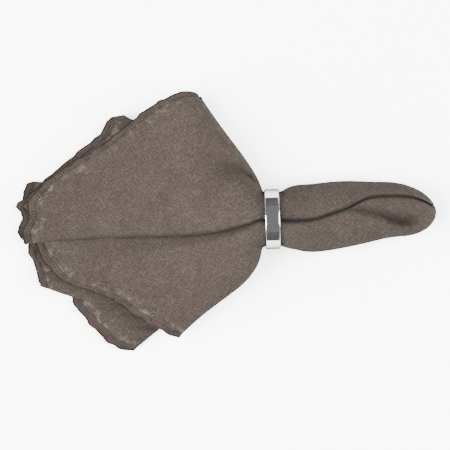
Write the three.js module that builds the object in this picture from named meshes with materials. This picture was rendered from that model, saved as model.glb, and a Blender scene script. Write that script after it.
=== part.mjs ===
// A linen napkin folded in quarters and drawn by its centre through a polished metal ring.
// Millimetres, +Z up. Seen from above, the gathered end lies towards +X and the hemmed corners
// fan out towards -X. The origin is the middle of the outline, on the table.
import * as THREE from 'three';
import { mergeVertices } from 'three/addons/utils/BufferGeometryUtils.js';

// Driving dimensions of the ring.
const RING_OUTER_RADIUS = 23;
const RING_BORE_RADIUS = 21.4;
const RING_WIDTH = 11;
const RING_HOLLOW = 0.55;
const RING_RIM_RADIUS = 0.8;
const RING_RIM_FLAT = 15;
const RING_BORE_BEVEL = 0.3;
const RING_SEGMENTS = 48;
const RING_X = 35.5;
const RING_Y = 1.4;
const RING_TURN = THREE.MathUtils.degToRad(2);

// Driving dimensions of the napkin.
const SHEET = 1.0;
const SEAT_GAP = 0.45;
const HEM_STACK = 10.6;
const TAIL_TIP_X = 159.4;
const TAIL_TIP_Y = 7.3;
const TAIL_TIP_Z = 12;
const NOSE_X = 132;
const FAN_EDGE_SHAPE = 0.42;

// The eight sheets that lie over one another, counted from the table.
const LEVEL = {
  bottom: 0,
  innerLower: 1,
  innerTuck: 2,
  innerUpper: 3,
  second: 4,
  lowerLobe: 5,
  topTuck: 6,
  upperLobe: 7,
};
const TOP_LEVEL = LEVEL.upperLobe;

// How the folds turn and the tucks open, and how steep the sheets fall beside the upper lobe's edge.
const FOLD_REACH = 5;
const SIDE_FLAT = 0.86;
const OPEN_SPREAD = 0.8;
const NARROW_TUCK = 7;
const NARROW_STOP = 0.6;
const GROOVE_AT_RING = 6;
const GROOVE_AT_HEM = 26;
const HEM_FADE = 3;
const NEAR_PEAK = 9.48;
const MOUTH_SPREAD = 3;
const MOUTH_OPENS = { from: 1, to: 2.5 };

// Fold lines, in their order round the cloth's centre. side: +1 turns back at the upper edge of the
// plan and -1 at the lower one. ring, tail and tip: its place across the bundle, from -1 to 1. The
// flap's folds have no tip, because they open out before it, and the lobe's folds have a table of
// their own. tipFrom, tipTo: the levels that it joins on the open tip. hemX, hemY: where it meets the
// hem. bow, sway: its sideways bends in the fan, halfway and nearer the ring.
const FOLDS = {
  upperEdge: { side: 1, ring: 0.93, tail: 0.97, tip: 0.97, tipFrom: 0, tipTo: 7,
    hemX: -18.5, hemY: 94, bow: 0, sway: 3.7 },
  lobeEdge: { side: -1, tipFrom: 7, tipTo: 7, hemX: -152.2, hemY: -17.4, bow: 0, sway: -6.3 },
  tuckValley: { side: 1, tipFrom: 7, tipTo: 7, hemX: -132, hemY: 4, bow: 0, sway: -5.5 },
  lowerEdge: { side: -1, ring: -0.95, tail: -0.97, tip: -0.97, tipFrom: 7, tipTo: 5.6,
    hemX: -35.4, hemY: -88.3, bow: -0.8, sway: -4.6 },
  underEdge: { side: 1, ring: 0.64, tail: 0.74, tip: -0.97, tipFrom: 3.8, tipTo: 3.2,
    hemX: -77.5, hemY: 80.2, bow: 3, sway: 0 },
  flapEdge: { side: -1, ring: -0.42, tail: -0.3, tipFrom: 2.5, tipTo: 2.1,
    hemX: -140.1, hemY: -48.6, bow: -32, sway: 0 },
  flapValley: { side: 1, ring: 0.22, tail: 0.25, tipFrom: 1.9, tipTo: 1.5,
    hemX: -121, hemY: -32, bow: -20, sway: 0 },
  innerEdge: { side: -1, ring: -0.8, tail: -0.94, tip: -0.97, tipFrom: 1.1, tipTo: 0,
    hemX: -70.1, hemY: -98.4, bow: -4, sway: 0 },
};

// Tucks: two folds that lay three sheets over one another and open out towards the tip. first, last:
// the folds on both sides. edgeShare, valleyShare: places between them once open. shifts: where the
// folds move from their places in the ring to those in the gathered end. parts, levels: where the
// folds part, and then the sheets come level. tipSpread: how far each fold's spokes part on the tip.
const TUCKS = [
  { edge: 'lobeEdge', valley: 'tuckValley', tipSpread: 0.8,
    parts: { from: 143, to: 152 }, levels: { from: 149, to: 157 } },
  { edge: 'flapEdge', valley: 'flapValley', first: 'underEdge', last: 'innerEdge',
    edgeShare: 0.35, valleyShare: 0.65, tipSpread: 0, shifts: { from: 44, to: 62 },
    parts: { from: 60, to: 84 }, levels: { from: 78, to: 104 } },
];
const PLAIN_SHIFT = { from: 44, to: 62 };

// Where the pleats give way to the open tip, in their places and then in their levels.
const TIP_PLACES = { from: 112, to: 150 };
const TIP_LEVELS = { from: 136, to: 155 };

// Panels between the fold lines. opened: the level once the panel's tuck has opened. Each hem row is
// the plan place of one spoke's end.
const PANELS = [
  { from: 'upperEdge', to: 'lobeEdge', level: LEVEL.upperLobe, opened: 7,
    hem: [[-23, 101.5], [-33, 100.2], [-50, 90], [-68, 77.8], [-88.9, 60.8], [-111.8, 46.1],
      [-135.3, 29.9], [-148.8, 14], [-150.5, -2], [-153.8, -12]] },
  { from: 'lobeEdge', to: 'tuckValley', level: LEVEL.topTuck, opened: 7, hem: [[-143, -7]] },
  { from: 'tuckValley', to: 'lowerEdge', level: LEVEL.lowerLobe, opened: 7,
    hem: [[-140, -8], [-142.5, -19], [-134.1, -34.6], [-122.1, -45.8], [-101.3, -53], [-81.2, -61.8],
      [-66, -72.8], [-49.4, -81.8]] },
  { from: 'lowerEdge', to: 'underEdge', level: LEVEL.second, opened: 4,
    hem: [[-60, -74], [-85, -56], [-112, -44], [-146, -20], [-157, -9.6], [-153.6, 5], [-158.8, 11.2],
      [-136.3, 31.8], [-106.4, 56.9], [-93.3, 67.9], [-89.9, 75.1]] },
  { from: 'underEdge', to: 'flapEdge', level: LEVEL.innerUpper, opened: 2,
    hem: [[-90, 66], [-112, 46], [-134, 26], [-147, -6], [-150.1, -18.6], [-145.3, -32.2]] },
  { from: 'flapEdge', to: 'flapValley', level: LEVEL.innerTuck, opened: 2, hem: [[-131, -41]] },
  { from: 'flapValley', to: 'innerEdge', level: LEVEL.innerLower, opened: 2,
    hem: [[-119, -48], [-114.2, -63.4], [-106.1, -74.2], [-94.9, -86.4], [-86, -94.2], [-77, -98]] },
  { from: 'innerEdge', to: 'upperEdge', level: LEVEL.bottom, opened: 0,
    hem: [[-80, -92.5], [-104, -70], [-128, -46], [-147, -14], [-153.9, 15], [-149.4, 30.1],
      [-140, 29.5], [-112, 46], [-84, 68], [-60, 80], [-40, 91]] },
];

// Outline of the gathered end: its two edges at each section.
const TAIL_OUTLINE = [
  { x: 43, lower: -20.7, upper: 24 },
  { x: 50, lower: -21.8, upper: 26.7 },
  { x: 65, lower: -23.6, upper: 28.2 },
  { x: 91, lower: -20.2, upper: 30.5 },
  { x: 109, lower: -16.3, upper: 30 },
  { x: 132, lower: -11.8, upper: 29.6 },
];

// The upper lobe in the ring and the gathered end: its edge in the plan, and how far its tuck reaches
// back under that edge. Past the last pleats the reach turns over, because the tuck lies open there.
const LOBE = [
  { x: 27.5, edge: 1.1, reach: 8.5 },
  { x: 43, edge: 0.3, reach: 8 },
  { x: 61, edge: 0.8, reach: 7.5 },
  { x: 78, edge: 5, reach: 7 },
  { x: 97, edge: 12.5, reach: 6.2 },
  { x: 110, edge: 18.1, reach: 5.4 },
  { x: 136, edge: 18.6, reach: 3.8 },
  { x: 144, edge: 16.7, reach: 2.4 },
  { x: 149, edge: 14.6, reach: 0 },
  { x: 157, edge: 10.4, reach: -2.4 },
];

// Heights of the gathered end: the underside and the crown at each section.
const TAIL_HEIGHT = [
  { x: 43, under: 1.6, crown: 43.4 },
  { x: 60, under: 0.5, crown: 42 },
  { x: 90, under: 0.5, crown: 37 },
  { x: 115, under: 0.5, crown: 32 },
  { x: 132, under: 0.5, crown: 28 },
];

// Soft troughs in the top of the bundle: a dent beside the ring, and a channel along the gathered end.
const TROUGHS = [
  { x0: -4, y0: 47, x1: 22, y1: 30, depth: 9, width: 6 },
  { x0: 93, y0: 9, x1: 142, y1: -1, depth: 8, width: 4.5 },
];

// The fan: its middle line's slope, its half width and how that grows, and how its crown and edge sink
// from the ring to the hems.
const FAN = {
  slope: 0.16,
  mouthHalf: 25,
  widening: 1.25,
  crownFall: 75,
  crownShape: 1.25,
  edgeFall: 40,
  blend: 16,
};

// Stations along every spoke, from the centre of the cloth to its hem.
const TAIL_STATIONS = [157.4, 153.5, 149, 144, 137, 128, 117, 105, 93, 82, 70, 58, 48.5, 42.6, 35.5, 28.3];
const FAN_STATIONS = [0.05, 0.12, 0.22, 0.34, 0.47, 0.6, 0.74, 0.88, 1];

const { lerp, smoothstep, clamp, degToRad } = THREE.MathUtils;
const rimReach = RING_RIM_RADIUS * (1 - Math.cos(degToRad(RING_RIM_FLAT)));
const ringZ = (RING_OUTER_RADIUS - rimReach) * Math.cos(Math.PI / RING_SEGMENTS);
const ringStart = RING_X - RING_WIDTH / 2;
const ringEnd = RING_X + RING_WIDTH / 2;
const bundleRadius = RING_BORE_RADIUS - SEAT_GAP - SHEET / 2;
const mouthX = TAIL_STATIONS.at(-1);
const lowerLobe = PANELS.find((panel) => panel.level === LEVEL.lowerLobe);

// Share of a stretch { from, to } that lies before x.
const passed = (stretch, x) => smoothstep(x, stretch.from, stretch.to);

// Reads a column of a table of sections at x.
function atSection(table, column, x) {
  const next = table.findIndex((row) => row.x >= x);
  if (next === 0) return table[0][column];
  if (next < 0) return table.at(-1)[column];
  const a = table[next - 1];
  const b = table[next];
  return lerp(a[column], b[column], (x - a.x) / (b.x - a.x));
}

// How much of the full section is left where the tip rounds off.
function noseScale(x) {
  const along = clamp((x - NOSE_X) / (TAIL_TIP_X - NOSE_X), 0, 1);
  return Math.sqrt(1 - along * along);
}

// Place in the plan of the ring's axis, which is turned a little.
function axisY(x) {
  return RING_Y + Math.tan(RING_TURN) * clamp(x - RING_X, -RING_WIDTH, RING_WIDTH);
}

// Middle and half width of the bundle at x, towards the tip or inside the ring.
function bundleSpan(x) {
  const scale = noseScale(x);
  const inRing = 1 - smoothstep(x, ringEnd, ringEnd + 5);
  const reach = bundleRadius + MOUTH_SPREAD * passed(MOUTH_OPENS, ringStart - x);
  const upper = lerp(atSection(TAIL_OUTLINE, 'upper', x), axisY(x) + reach, inRing);
  const lower = lerp(atSection(TAIL_OUTLINE, 'lower', x), axisY(x) - reach, inRing);
  return {
    middle: lerp(TAIL_TIP_Y, (upper + lower) / 2, scale),
    half: scale * (upper - lower) / 2,
  };
}

// Underside and crown of the bundle over the plan point, before any trough.
function tailHeights(x, y) {
  const { middle, half } = bundleSpan(x);
  const across = Math.min(SIDE_FLAT, Math.abs(y - middle) / half);
  const arch = Math.sqrt(1 - across * across);
  const scale = noseScale(x);
  const crown = lerp(TAIL_TIP_Z, atSection(TAIL_HEIGHT, 'crown', x), scale);
  const under = lerp(TAIL_TIP_Z, atSection(TAIL_HEIGHT, 'under', x), scale);
  const edge = lerp(under, crown, 0.45);
  return { top: lerp(edge, crown, arch), under: lerp(edge, under, Math.pow(arch, 0.6)) };
}

function ringHeights(x, y) {
  const across = Math.min(SIDE_FLAT * bundleRadius, Math.abs(y - axisY(x)));
  const rise = Math.sqrt(bundleRadius ** 2 - across ** 2);
  return { top: ringZ + rise, under: ringZ - rise };
}

function fanHeights(x, y) {
  const out = mouthX - x;
  const middle = RING_Y + FAN.slope * out;
  const half = FAN.mouthHalf + FAN.widening * out;
  const across = Math.min(1, Math.abs(y - middle) / half);
  const crownShare = Math.exp(-Math.pow(out / FAN.crownFall, FAN.crownShape));
  const crown = lerp(HEM_STACK, ringZ + bundleRadius, crownShare);
  const edge = lerp(HEM_STACK, ringZ, Math.exp(-out / FAN.edgeFall));
  const arch = Math.pow(1 - across ** 2.4, FAN_EDGE_SHAPE);
  return { top: lerp(edge, crown, arch), under: SHEET / 2 };
}

function blendHeights(a, b, share) {
  return { top: lerp(a.top, b.top, share), under: lerp(a.under, b.under, share) };
}

function bundleHeights(x, y) {
  const inRing = ringHeights(x, y);
  if (x > ringEnd) return blendHeights(inRing, tailHeights(x, y), smoothstep(x, ringEnd, ringEnd + 6));
  if (x < mouthX) return blendHeights(inRing, fanHeights(x, y), smoothstep(mouthX - x, 0, FAN.blend));
  return inRing;
}

// Distance along and beside the line of a trough, as a soft hollow.
function troughDepth(trough, x, y) {
  const run = new THREE.Vector2(trough.x1 - trough.x0, trough.y1 - trough.y0);
  const offset = new THREE.Vector2(x - trough.x0, y - trough.y0);
  const share = clamp(offset.dot(run) / run.lengthSq(), 0, 1);
  const away = offset.addScaledVector(run, -share).length() / trough.width;
  return trough.depth * Math.exp(-away * away) * Math.sin(Math.PI * (0.15 + 0.7 * share));
}

function tuckOf(name) {
  return TUCKS.find(({ edge, valley }) => edge === name || valley === name);
}

// Share to which the tuck of a fold has opened at x, in its places or levels. Other folds stay shut.
function tuckOpening(name, x, stretch) {
  const tuck = tuckOf(name);
  return tuck ? passed(tuck[stretch], x) : 0;
}

// Place of a fold across the bundle at x, from the tip to the ring mouth.
function foldAcross(name, x) {
  const fold = FOLDS[name];
  const tuck = tuckOf(name);
  const shifted = lerp(fold.ring, fold.tail, passed(tuck ? tuck.shifts : PLAIN_SHIFT, x));
  if (!tuck) return lerp(shifted, fold.tip, passed(TIP_PLACES, x));
  const share = name === tuck.edge ? tuck.edgeShare : tuck.valleyShare;
  const opened = lerp(foldAcross(tuck.first, x), foldAcross(tuck.last, x), share);
  return lerp(shifted, opened, tuckOpening(name, x, 'parts'));
}

function foldTailY(name, x) {
  const { middle, half } = bundleSpan(x);
  const lobe = TUCKS[0];
  if (name !== lobe.edge && name !== lobe.valley) return middle + foldAcross(name, x) * half;
  const reach = name === lobe.valley ? atSection(LOBE, 'reach', x) : 0;
  return atSection(LOBE, 'edge', x) + reach;
}

// Plan line of a spoke in the fan, from the ring mouth to its place on the hem.
function fanPoint({ mouthY, hemX, hemY, bow, sway }, share) {
  const mouth = new THREE.Vector2(mouthX, mouthY);
  const hem = new THREE.Vector2(hemX, hemY);
  const run = hem.clone().sub(mouth).normalize();
  const bend = bow * 4 * share * (1 - share) + sway * NEAR_PEAK * share * (1 - share) ** 3;
  return mouth.lerp(hem, share).add(new THREE.Vector2(run.y * bend, -run.x * bend));
}

function foldPlan(name, station) {
  if (station.x !== undefined) return new THREE.Vector2(station.x, foldTailY(name, station.x));
  return fanPoint({ ...FOLDS[name], mouthY: foldTailY(name, mouthX) }, station.share);
}

// The upper lobe's edge as a line in the plan.
function lobeEdgeY(x) {
  if (x >= mouthX) return foldTailY('lobeEdge', x);
  const share = Math.min(1, (mouthX - x) / (mouthX - FOLDS.lobeEdge.hemX));
  return foldPlan('lobeEdge', { share }).y;
}

// Level of a panel at a station: a tuck's sheets meet where it opens.
function panelLevel(panel, station) {
  if (station.x === undefined) return panel.level;
  const openings = [panel.from, panel.to].map((name) => tuckOpening(name, station.x, 'levels'));
  return lerp(panel.level, panel.opened, Math.max(...openings));
}

// The upper lobe lies over the lower one, so the sheets beside its edge rise to fill the bundle.
function topShare(x, y) {
  const lowerLevel = panelLevel(lowerLobe, { x: Math.max(x, mouthX) });
  const outward = clamp((mouthX - x) / (mouthX - FOLDS.lobeEdge.hemX), 0, 1);
  const groove = lerp(GROOVE_AT_RING, GROOVE_AT_HEM, outward);
  return lerp(1, lowerLevel / TOP_LEVEL, smoothstep(lobeEdgeY(x) - y, 0, groove));
}

// Height of a level over the plan point.
function levelHeight(level, plan) {
  const { top, under } = bundleHeights(plan.x, plan.y);
  const hollow = TROUGHS.reduce((sum, trough) => sum + troughDepth(trough, plan.x, plan.y), 0);
  const full = (top - hollow - under) / topShare(plan.x, plan.y);
  return under + full * level / TOP_LEVEL;
}

// Sideways direction of a fold at a station, square to its line in the plan.
function foldOutward(name, station) {
  const { side } = FOLDS[name];
  const straight = new THREE.Vector2(0, side);
  if (station.x !== undefined) return straight;
  const run = foldPlan(name, station).sub(foldPlan(name, { share: station.share - 0.04 })).normalize();
  const square = new THREE.Vector2(run.y, -run.x).multiplyScalar(side);
  return straight.lerp(square, smoothstep(station.share, 0, 0.3)).normalize();
}

function panelBefore(name) {
  return PANELS.find((panel) => panel.to === name);
}

function panelAfter(name) {
  return PANELS.find((panel) => panel.from === name);
}

// Width in the plan of the tuck that a fold belongs to, which is nothing once it has opened.
function tuckRoom(name, station) {
  const tuck = tuckOf(name);
  if (!tuck) return Infinity;
  const across = foldPlan(tuck.valley, station).sub(foldPlan(tuck.edge, station));
  return station.x === undefined ? across.length() : Math.max(0, across.y);
}

// How far a fold's half circle reaches back from its edge, at most half the tuck that it belongs to.
function foldReach(name, station) {
  const plan = foldPlan(name, station);
  const before = levelHeight(panelLevel(panelBefore(name), station), plan);
  const after = levelHeight(panelLevel(panelAfter(name), station), plan);
  const pleated = station.x === undefined || tuckOf(name) === TUCKS[0];
  const closed = pleated ? 1 : 1 - passed(TIP_PLACES, station.x);
  return closed * Math.min(Math.abs(after - before) / 2, 0.45 * tuckRoom(name, station), FOLD_REACH);
}

// Offset of a fold's spoke from its edge. turn runs from -1 to 1 round the half circle, and where a
// tuck has opened the spokes lie side by side.
function foldOffset(name, station, turn) {
  const back = 1 - Math.sqrt(1 - turn * turn);
  const offset = foldOutward(name, station).multiplyScalar(-foldReach(name, station) * back);
  if (tuckOf(name) && station.x !== undefined) {
    const spread = lerp(OPEN_SPREAD, tuckOf(name).tipSpread, passed(TIP_PLACES, station.x));
    offset.y -= turn * spread * tuckOpening(name, station.x, 'parts');
  }
  return offset;
}

// A fold turns from one level to the next round a half circle of three or five spokes.
function foldSpokes(name) {
  const tall = Math.abs(panelAfter(name).level - panelBefore(name).level) > 1;
  const angles = tall ? [-90, -42, 0, 42, 90] : [-90, 0, 90];
  return angles.map((degrees) => {
    return { fold: name, turn: Math.sin(degToRad(degrees)) };
  });
}

// Spokes across a panel, one for each hem row, spread by hem length.
function panelSpokes(panel) {
  const from = FOLDS[panel.from];
  const to = FOLDS[panel.to];
  const route = [[from.hemX, from.hemY], ...panel.hem, [to.hemX, to.hemY]];
  const steps = route.slice(1).map(([x, y], i) => Math.hypot(x - route[i][0], y - route[i][1]));
  const total = steps.reduce((sum, step) => sum + step, 0);
  let covered = 0;
  return panel.hem.map(([hemX, hemY], i) => {
    covered += steps[i];
    const share = covered / total;
    const bow = lerp(from.bow, to.bow, share);
    const sway = lerp(from.sway, to.sway, share);
    return { panel, share, hemX, hemY, bow, sway };
  });
}

function allSpokes() {
  return PANELS.flatMap((panel) => [...foldSpokes(panel.from), ...panelSpokes(panel)]);
}

function towardsTip(level, tipLevel, station) {
  return station.x === undefined ? level : lerp(level, tipLevel, passed(TIP_LEVELS, station.x));
}

// Place of a spoke on a fold. In a narrow tuck its half circle stops short of the middle sheet.
function foldPoint({ fold, turn }, station) {
  const { tipFrom, tipTo } = FOLDS[fold];
  const plan = foldPlan(fold, station).add(foldOffset(fold, station, turn));
  const middleSide = TUCKS.some(({ edge }) => edge === fold) ? 1 : -1;
  const narrow = 1 - clamp(tuckRoom(fold, station) / NARROW_TUCK, 0, 1);
  const short = turn === middleSide ? NARROW_STOP * narrow : 0;
  const climb = (1 + turn * (1 - short)) / 2;
  const before = towardsTip(panelLevel(panelBefore(fold), station), tipFrom, station);
  const after = towardsTip(panelLevel(panelAfter(fold), station), tipTo, station);
  const height = lerp(levelHeight(before, plan), levelHeight(after, plan), climb);
  return new THREE.Vector3(plan.x, plan.y, height);
}

// Place of a spoke on a panel, between the two folds that bound it. Towards the hem the folds pull
// only their nearest spokes along, so the rows lie where they are measured.
function panelPoint({ panel, share, hemX, hemY, bow, sway }, station) {
  const { from, to } = panel;
  const mouthY = lerp(foldTailY(from, mouthX), foldTailY(to, mouthX), share);
  const plan = station.x === undefined
    ? fanPoint({ mouthY, hemX, hemY, bow, sway }, station.share)
    : new THREE.Vector2(station.x, lerp(foldTailY(from, station.x), foldTailY(to, station.x), share));
  const fade = station.x === undefined ? lerp(1, HEM_FADE, station.share) : 1;
  plan.addScaledVector(foldOffset(from, station, 1), Math.pow(1 - share, fade));
  plan.addScaledVector(foldOffset(to, station, -1), Math.pow(share, fade));
  const tipLevel = lerp(FOLDS[from].tipTo, FOLDS[to].tipFrom, share);
  const level = towardsTip(panelLevel(panel, station), tipLevel, station);
  return new THREE.Vector3(plan.x, plan.y, levelHeight(level, plan));
}

// Inside the ring the bundle keeps within the bore.
function keepInBore(point) {
  const inRing = Math.abs(point.x - RING_X) < RING_WIDTH / 2 + 2;
  const middle = axisY(point.x);
  const away = Math.hypot(point.y - middle, point.z - ringZ);
  if (!inRing || away <= bundleRadius) return point;
  point.y = middle + (point.y - middle) * bundleRadius / away;
  point.z = ringZ + (point.z - ringZ) * bundleRadius / away;
  return point;
}

function clothPoint(spoke, station) {
  return keepInBore(spoke.fold ? foldPoint(spoke, station) : panelPoint(spoke, station));
}

// The sheet's middle surface: one grid of spokes by stations, closed at the tip by a pole.
function middleSurface() {
  const spokes = allSpokes();
  const stations = [...TAIL_STATIONS.map((x) => ({ x })), ...FAN_STATIONS.map((share) => ({ share }))];
  const points = [new THREE.Vector3(TAIL_TIP_X, TAIL_TIP_Y, TAIL_TIP_Z)];
  for (const station of stations) {
    for (const spoke of spokes) points.push(clothPoint(spoke, station));
  }
  const faces = [];
  const count = spokes.length;
  const vertex = (row, i) => 1 + row * count + (i % count);
  for (let i = 0; i < count; i += 1) {
    faces.push([0, vertex(0, i), vertex(0, i + 1)]);
    for (let row = 0; row + 1 < stations.length; row += 1) {
      faces.push([vertex(row, i), vertex(row + 1, i), vertex(row + 1, i + 1)]);
      faces.push([vertex(row, i), vertex(row + 1, i + 1), vertex(row, i + 1)]);
    }
  }
  const rim = Array.from({ length: count }, (_, i) => vertex(stations.length - 1, i));
  return { points, faces, rim };
}

// Thickens a surface by half the sheet to each side and closes it along its rim.
function thicken({ points, faces, rim }) {
  const surface = new THREE.BufferGeometry().setFromPoints(points);
  surface.setIndex(faces.flat());
  surface.computeVertexNormals();
  const normal = surface.getAttribute('normal');
  const push = (side) => points.map((point, i) => {
    const lift = new THREE.Vector3().fromBufferAttribute(normal, i).multiplyScalar(side * SHEET / 2);
    const moved = point.clone().add(lift);
    moved.z = Math.max(0, moved.z);
    return moved;
  });
  const count = points.length;
  const outer = faces.flat();
  const inner = faces.flatMap(([a, b, c]) => [a + count, c + count, b + count]);
  const edge = rim.flatMap((a, i) => {
    const b = rim[(i + 1) % rim.length];
    return [a, a + count, b + count, a, b + count, b];
  });
  const solid = new THREE.BufferGeometry().setFromPoints([...push(1), ...push(-1)]);
  solid.setIndex([...outer, ...inner, ...edge]);
  return mergeVertices(solid);
}

function napkin() {
  const linen = new THREE.MeshStandardMaterial({ color: 0x7a6e66, roughness: 0.85, metalness: 0 });
  const mesh = new THREE.Mesh(thicken(middleSurface()), linen);
  mesh.name = 'napkin';
  return mesh;
}

// Band with a hollow outer face between two rounded rims, turned about its axis. Each rim has a
// narrow flat, and one flat of every rim lies on the table.
function ringProfile() {
  const half = RING_WIDTH / 2;
  const rimCentre = new THREE.Vector2(RING_OUTER_RADIUS - RING_RIM_RADIUS, half - RING_RIM_RADIUS);
  const rim = [-50, -RING_RIM_FLAT, RING_RIM_FLAT, 50, 90].map((degrees) => {
    const angle = degToRad(degrees);
    const lift = new THREE.Vector2(Math.cos(angle), Math.sin(angle)).multiplyScalar(RING_RIM_RADIUS);
    return rimCentre.clone().add(lift);
  });
  const upper = [...rim].reverse();
  const lower = rim.map((point) => new THREE.Vector2(point.x, -point.y));
  const hollow = new THREE.Vector2(RING_OUTER_RADIUS - RING_HOLLOW, 0);
  const bore = [-1, 1].map((end) => {
    return new THREE.Vector2(RING_BORE_RADIUS, end * (half - RING_BORE_BEVEL));
  });
  return [...upper, hollow, ...lower, ...bore, upper[0].clone()].reverse();
}

function ring() {
  const metal = new THREE.MeshStandardMaterial({ color: 0xc9ccd0, roughness: 0.12, metalness: 1 });
  const halfFacet = Math.PI / RING_SEGMENTS;
  const band = new THREE.LatheGeometry(ringProfile(), RING_SEGMENTS, halfFacet);
  const mesh = new THREE.Mesh(band, metal);
  mesh.rotation.z = Math.PI / 2 + RING_TURN;
  mesh.position.set(RING_X, RING_Y, ringZ);
  mesh.name = 'ring';
  return mesh;
}

const model = new THREE.Group();
model.add(napkin(), ring());
export default model;
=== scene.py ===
"""A linen napkin, folded in quarters and drawn by its middle through a polished ring."""

import math

import bpy
import numpy as np
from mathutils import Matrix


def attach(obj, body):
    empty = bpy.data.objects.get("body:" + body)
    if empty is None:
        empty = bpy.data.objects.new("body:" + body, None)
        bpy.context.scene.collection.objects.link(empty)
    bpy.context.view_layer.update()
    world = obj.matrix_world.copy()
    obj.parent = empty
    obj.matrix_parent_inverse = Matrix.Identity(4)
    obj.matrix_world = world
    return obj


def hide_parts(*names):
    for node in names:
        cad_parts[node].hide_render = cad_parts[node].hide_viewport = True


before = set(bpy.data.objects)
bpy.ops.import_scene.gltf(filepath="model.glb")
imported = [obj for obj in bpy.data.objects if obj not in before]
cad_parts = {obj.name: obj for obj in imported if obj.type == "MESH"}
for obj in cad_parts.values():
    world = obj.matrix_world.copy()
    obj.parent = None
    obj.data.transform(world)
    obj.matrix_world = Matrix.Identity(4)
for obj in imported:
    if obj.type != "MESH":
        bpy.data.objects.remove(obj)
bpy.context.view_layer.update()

# Camera: the photo looks straight down on the napkin, from well above the table, so the picture
# is a plan of it with hardly any perspective.
IMAGE_SPAN = 0.342
CAMERA_HEIGHT = 2.2
CAMERA_X = 0.0
CAMERA_Y = -0.00304
SENSOR = 36.0

camera_data = bpy.data.cameras.new("overhead_camera")
camera_data.type = "PERSP"
camera_data.sensor_width = SENSOR
camera_data.lens = SENSOR * CAMERA_HEIGHT / IMAGE_SPAN
camera_data.clip_start = 0.05
camera_data.clip_end = 20
camera = bpy.data.objects.new("overhead_camera", camera_data)
camera.location = (CAMERA_X, CAMERA_Y, CAMERA_HEIGHT)
bpy.context.collection.objects.link(camera)
bpy.context.scene.camera = camera


# Table: a plain white surface that the napkin lies on, matt, and so large that its edge never shows.
# It gives off light of its own, which brings it near the photo's white background.
TABLE_SIZE = 6.0
TABLE_GAP = 0.0002
TABLE_COLOUR = (0.88, 0.88, 0.88, 1)
TABLE_GLOW = 1.6
TABLE_GLOW_COLOUR = (1, 1, 1, 1)
TABLE_ROUGHNESS = 0.7

bpy.ops.object.select_all(action="DESELECT")
bpy.ops.mesh.primitive_plane_add(size=TABLE_SIZE, location=(0, 0, -TABLE_GAP))
table_top = bpy.context.object
table_top.name = "table_top"
bpy.ops.object.transform_apply(location=True, rotation=True, scale=True)
table_paint = bpy.data.materials.new("table_paint")
table_paint.use_nodes = True
table_shader = table_paint.node_tree.nodes["Principled BSDF"]
table_shader.inputs["Base Color"].default_value = TABLE_COLOUR
table_shader.inputs["Roughness"].default_value = TABLE_ROUGHNESS
table_shader.inputs["Emission Color"].default_value = TABLE_GLOW_COLOUR
table_shader.inputs["Emission Strength"].default_value = TABLE_GLOW
table_top.data.materials.append(table_paint)


# Studio: a soft light on each side, level with the ends of the napkin, in a grey room that lights the
# folds evenly. Two dark cards stand behind and in front, and darken the ends of the ring's face.
ROOM_GREY = (0.5, 0.505, 0.51, 1)
ROOM_STRENGTH = 1.0
SOFT_LIGHTS = {
    "left_light": {"place": (-1.8, -0.35, 1.15), "size": (1.5, 3.2), "watts": 620},
    "right_light": {"place": (1.8, 0.1, 1.15), "size": (1.5, 3.2), "watts": 430},
}
CARD_LENGTH = 5.6
CARD_HEIGHT = 2.2
CARD_AWAY = 2.8
CARD_DARK_TO = 0.35
CARD_FOOT_COLOUR = (0.01, 0.01, 0.01, 1)
CARD_TOP_COLOUR = (0.06, 0.06, 0.06, 1)

room = bpy.data.worlds.new("room")
room.use_nodes = True
room.node_tree.nodes["Background"].inputs["Color"].default_value = ROOM_GREY
room.node_tree.nodes["Background"].inputs["Strength"].default_value = ROOM_STRENGTH
bpy.context.scene.world = room
for light_name, light_plan in SOFT_LIGHTS.items():
    light_data = bpy.data.lights.new(light_name, "AREA")
    light_data.shape = "RECTANGLE"
    light_data.size, light_data.size_y = light_plan["size"]
    light_data.energy = light_plan["watts"]
    light = bpy.data.objects.new(light_name, light_data)
    light.location = light_plan["place"]
    light.rotation_euler = (-light.location).to_track_quat("-Z", "Y").to_euler()
    bpy.context.collection.objects.link(light)


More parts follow.
